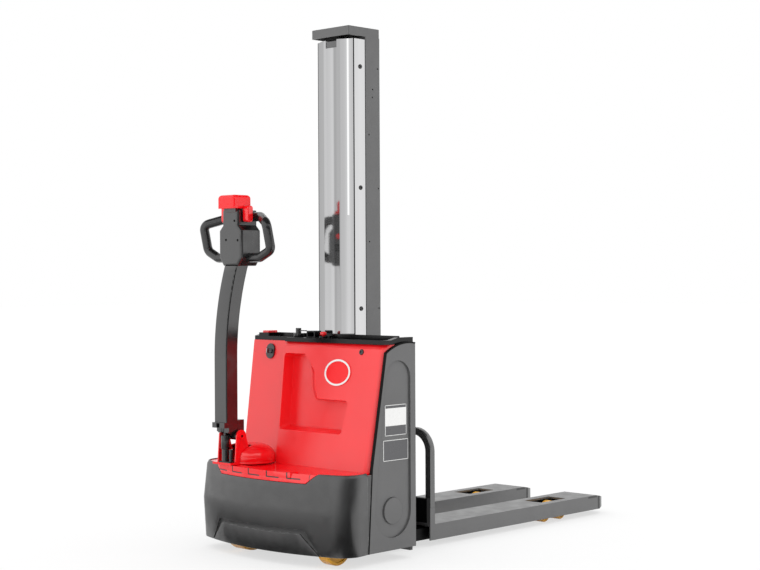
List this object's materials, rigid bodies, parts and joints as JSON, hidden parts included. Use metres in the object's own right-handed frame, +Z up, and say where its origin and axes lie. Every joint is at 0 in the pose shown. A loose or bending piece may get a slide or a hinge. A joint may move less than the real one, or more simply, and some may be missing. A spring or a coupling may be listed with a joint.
{
  "type": "pallet stacker",
  "caption": "Pedestrian electric pallet stacker with a single mast, chain lift, forks over straddling support legs, an offset steering tiller and a covered power unit.",
  "frame": {"origin": "on the floor, at the middle of the truck's length and width", "axes": "+X to the fork tips, +Y to the truck's left, +Z up the mast"},
  "size_m": [1.8329, 0.8071, 2.011],
  "materials": {
    "graphite_paint": "satin powder coat",
    "black_paint": "satin powder coat",
    "skirt_plastic": "fine grained moulding",
    "red_plastic": "gloss moulding",
    "red_paint": "gloss powder coat",
    "black_plastic": "fine grained moulding",
    "badge_plastic": "gloss moulding",
    "silver_sheet": "satin anodised",
    "arm_casting": "satin painted casting",
    "bright_steel": "ground",
    "chrome_rod": "hard chrome",
    "chain_steel": "oiled",
    "cast_iron": "as cast",
    "amber_urethane": "satin cast tread",
    "battery_case": "matt moulding"
  },
  "bodies": {
    "chassis": {"chassis_frame": "graphite_paint", "support_leg_left": "black_paint", "support_leg_right": "black_paint", "rear_skirt": "skirt_plastic", "floor_cover": "red_plastic", "main_cover": "red_plastic", "top_tray": "black_plastic", "pod_lid": "red_plastic", "side_panel_left": "graphite_paint", "side_panel_right": "graphite_paint", "badge_disc": "badge_plastic", "mast_rail_left": "graphite_paint", "mast_rail_right": "graphite_paint", "mast_ties": "graphite_paint", "mast_cover": "silver_sheet", "mast_strips": "silver_sheet", "mast_cap": "graphite_paint", "lift_cylinder": "black_paint", "chain_fixed_run": "chain_steel", "battery": "battery_case", "power_pack": "black_paint", "controller": "silver_sheet", "slew_ring": "cast_iron", "key_bezel": "black_plastic"},
    "rod": {"piston_rod": "chrome_rod", "chain_carriage_run": "chain_steel"},
    "chain_pulley": {"chain_pulley": "bright_steel"},
    "carriage": {"carriage_frame": "black_paint", "fork_left": "graphite_paint", "fork_right": "graphite_paint", "load_backrest": "black_paint"},
    "lower_rollers": {"lower_rollers": "bright_steel"},
    "upper_rollers": {"upper_rollers": "bright_steel"},
    "drive": {"drive_housing": "cast_iron", "drive_motor": "black_paint", "turret_cover": "red_plastic", "tiller_bracket": "red_paint", "tiller_pin": "bright_steel", "strut_tube": "black_plastic"},
    "drive_wheel": {"drive_wheel": "amber_urethane"},
    "tiller": {"tiller_arm": "arm_casting", "head_lower_shell": "black_plastic", "head_upper_shell": "black_plastic", "handle_ring": "black_plastic"},
    "strut_sleeve": {"strut_sleeve": "black_plastic"},
    "belly_button": {"belly_button": "red_plastic"},
    "butterfly": {"butterfly": "red_plastic"},
    "lift_rocker": {"lift_rocker": "black_plastic"},
    "horn_button": {"horn_button": "red_plastic"},
    "caster": {"caster_fork": "bright_steel"},
    "caster_wheel": {"caster_wheel": "amber_urethane"},
    "key": {"key": "bright_steel"},
    "estop_button": {"estop_button": "red_plastic"},
    "isolator_knob": {"isolator_knob": "black_plastic"},
    "bogie_left": {"bogie_left": "graphite_paint"},
    "load_wheel_left_front": {"load_wheel_left_front": "amber_urethane"},
    "load_wheel_left_rear": {"load_wheel_left_rear": "amber_urethane"},
    "bogie_right": {"bogie_right": "graphite_paint"},
    "load_wheel_right_front": {"load_wheel_right_front": "amber_urethane"},
    "load_wheel_right_rear": {"load_wheel_right_rear": "amber_urethane"}
  },
  "joints": [
    {"name": "carriage_lift", "type": "slide", "parent": "chassis", "child": "carriage", "axis": [0, 0, 1], "range_m": [0, 1.5]},
    {"name": "rod_lift", "type": "slide", "parent": "chassis", "child": "rod", "axis": [0, 0, 1], "range_m": [0, 0.75], "deforming": ["chain_carriage_run", "chain_fixed_run"]},
    {"name": "pulley_spin", "type": "hinge", "parent": "rod", "child": "chain_pulley", "pos_m": [-0.4595, 0, 1.075], "axis": [0, 1, 0], "continuous": true},
    {"name": "lower_roller_spin", "type": "hinge", "parent": "carriage", "child": "lower_rollers", "pos_m": [-0.3805, 0, 0.14], "axis": [0, 1, 0], "continuous": true},
    {"name": "upper_roller_spin", "type": "hinge", "parent": "carriage", "child": "upper_rollers", "pos_m": [-0.3805, 0, 0.46], "axis": [0, 1, 0], "continuous": true},
    {"name": "drive_steer", "type": "hinge", "parent": "chassis", "child": "drive", "pos_m": [-0.7615, 0.2055, 0.338], "axis": [0, 0, 1], "range_deg": [-90, 90]},
    {"name": "drive_wheel_spin", "type": "hinge", "parent": "drive", "child": "drive_wheel", "pos_m": [-0.7615, 0.2055, 0.1], "axis": [0, 1, 0], "continuous": true},
    {"name": "tiller_tilt", "type": "hinge", "parent": "drive", "child": "tiller", "pos_m": [-0.8425, 0.2055, 0.445], "axis": [0, -1, 0], "range_deg": [0, 70], "stiffness_Nm_per_rad": 45, "springref_deg": -14.32},
    {"name": "strut_slide", "type": "slide", "parent": "drive", "child": "strut_sleeve", "axis": [0, 0, 1], "range_m": [-0.04484, 0]},
    {"name": "belly_press", "type": "slide", "parent": "tiller", "child": "belly_button", "axis": [0, 0, -1], "range_m": [0, 0.006], "stiffness_N_per_m": 900, "springref_m": -0.006},
    {"name": "butterfly_turn", "type": "hinge", "parent": "tiller", "child": "butterfly", "pos_m": [-0.8135, 0.2055, 1.288], "axis": [0, 1, 0], "range_deg": [-25, 25], "stiffness_Nm_per_rad": 1.2},
    {"name": "lift_rocker_turn", "type": "hinge", "parent": "tiller", "child": "lift_rocker", "pos_m": [-0.7525, 0.2055, 1.165], "axis": [0, 1, 0], "range_deg": [-8, 8], "stiffness_Nm_per_rad": 0.6},
    {"name": "horn_press", "type": "slide", "parent": "tiller", "child": "horn_button", "axis": [-1, 0, 0], "range_m": [0, 0.003], "stiffness_N_per_m": 600, "springref_m": -0.003},
    {"name": "caster_swivel", "type": "hinge", "parent": "chassis", "child": "caster", "pos_m": [-0.7415, -0.275, 0.18], "axis": [0, 0, 1], "continuous": true},
    {"name": "caster_wheel_spin", "type": "hinge", "parent": "caster", "child": "caster_wheel", "pos_m": [-0.7765, -0.275, 0.065], "axis": [0, 1, 0], "continuous": true},
    {"name": "key_turn", "type": "hinge", "parent": "chassis", "child": "key", "pos_m": [-0.5769, 0.276, 0.754], "axis": [-0.9917, 0, 0.1289], "range_deg": [-90, 0]},
    {"name": "estop_press", "type": "slide", "parent": "chassis", "child": "estop_button", "axis": [0, 0, -1], "range_m": [0, 0.004]},
    {"name": "isolator_turn", "type": "hinge", "parent": "chassis", "child": "isolator_knob", "pos_m": [-0.5535, 0.142, 0.813], "axis": [0, 0, 1], "range_deg": [0, 90]},
    {"name": "bogie_left_rock", "type": "hinge", "parent": "chassis", "child": "bogie_left", "pos_m": [0.5735, 0.199, 0.037], "axis": [0, 1, 0], "range_deg": [-6, 6]},
    {"name": "load_wheel_left_front_spin", "type": "hinge", "parent": "bogie_left", "child": "load_wheel_left_front", "pos_m": [0.6285, 0.199, 0.037], "axis": [0, 1, 0], "continuous": true},
    {"name": "load_wheel_left_rear_spin", "type": "hinge", "parent": "bogie_left", "child": "load_wheel_left_rear", "pos_m": [0.5185, 0.199, 0.037], "axis": [0, 1, 0], "continuous": true},
    {"name": "bogie_right_rock", "type": "hinge", "parent": "chassis", "child": "bogie_right", "pos_m": [0.5735, -0.199, 0.037], "axis": [0, 1, 0], "range_deg": [-6, 6]},
    {"name": "load_wheel_right_front_spin", "type": "hinge", "parent": "bogie_right", "child": "load_wheel_right_front", "pos_m": [0.6285, -0.199, 0.037], "axis": [0, 1, 0], "continuous": true},
    {"name": "load_wheel_right_rear_spin", "type": "hinge", "parent": "bogie_right", "child": "load_wheel_right_rear", "pos_m": [0.5185, -0.199, 0.037], "axis": [0, 1, 0], "continuous": true}
  ],
  "couplings": [
    {"joint": "rod_lift", "follows": "carriage_lift", "ratio": 0.5},
    {"joint": "pulley_spin", "follows": "carriage_lift", "rad_per_m": -15.152},
    {"joint": "lower_roller_spin", "follows": "carriage_lift", "rad_per_m": -37.594},
    {"joint": "upper_roller_spin", "follows": "carriage_lift", "rad_per_m": 37.594},
    {"joint": "strut_slide", "follows": "tiller_tilt", "m_per_rad": -0.036539}
  ]
}
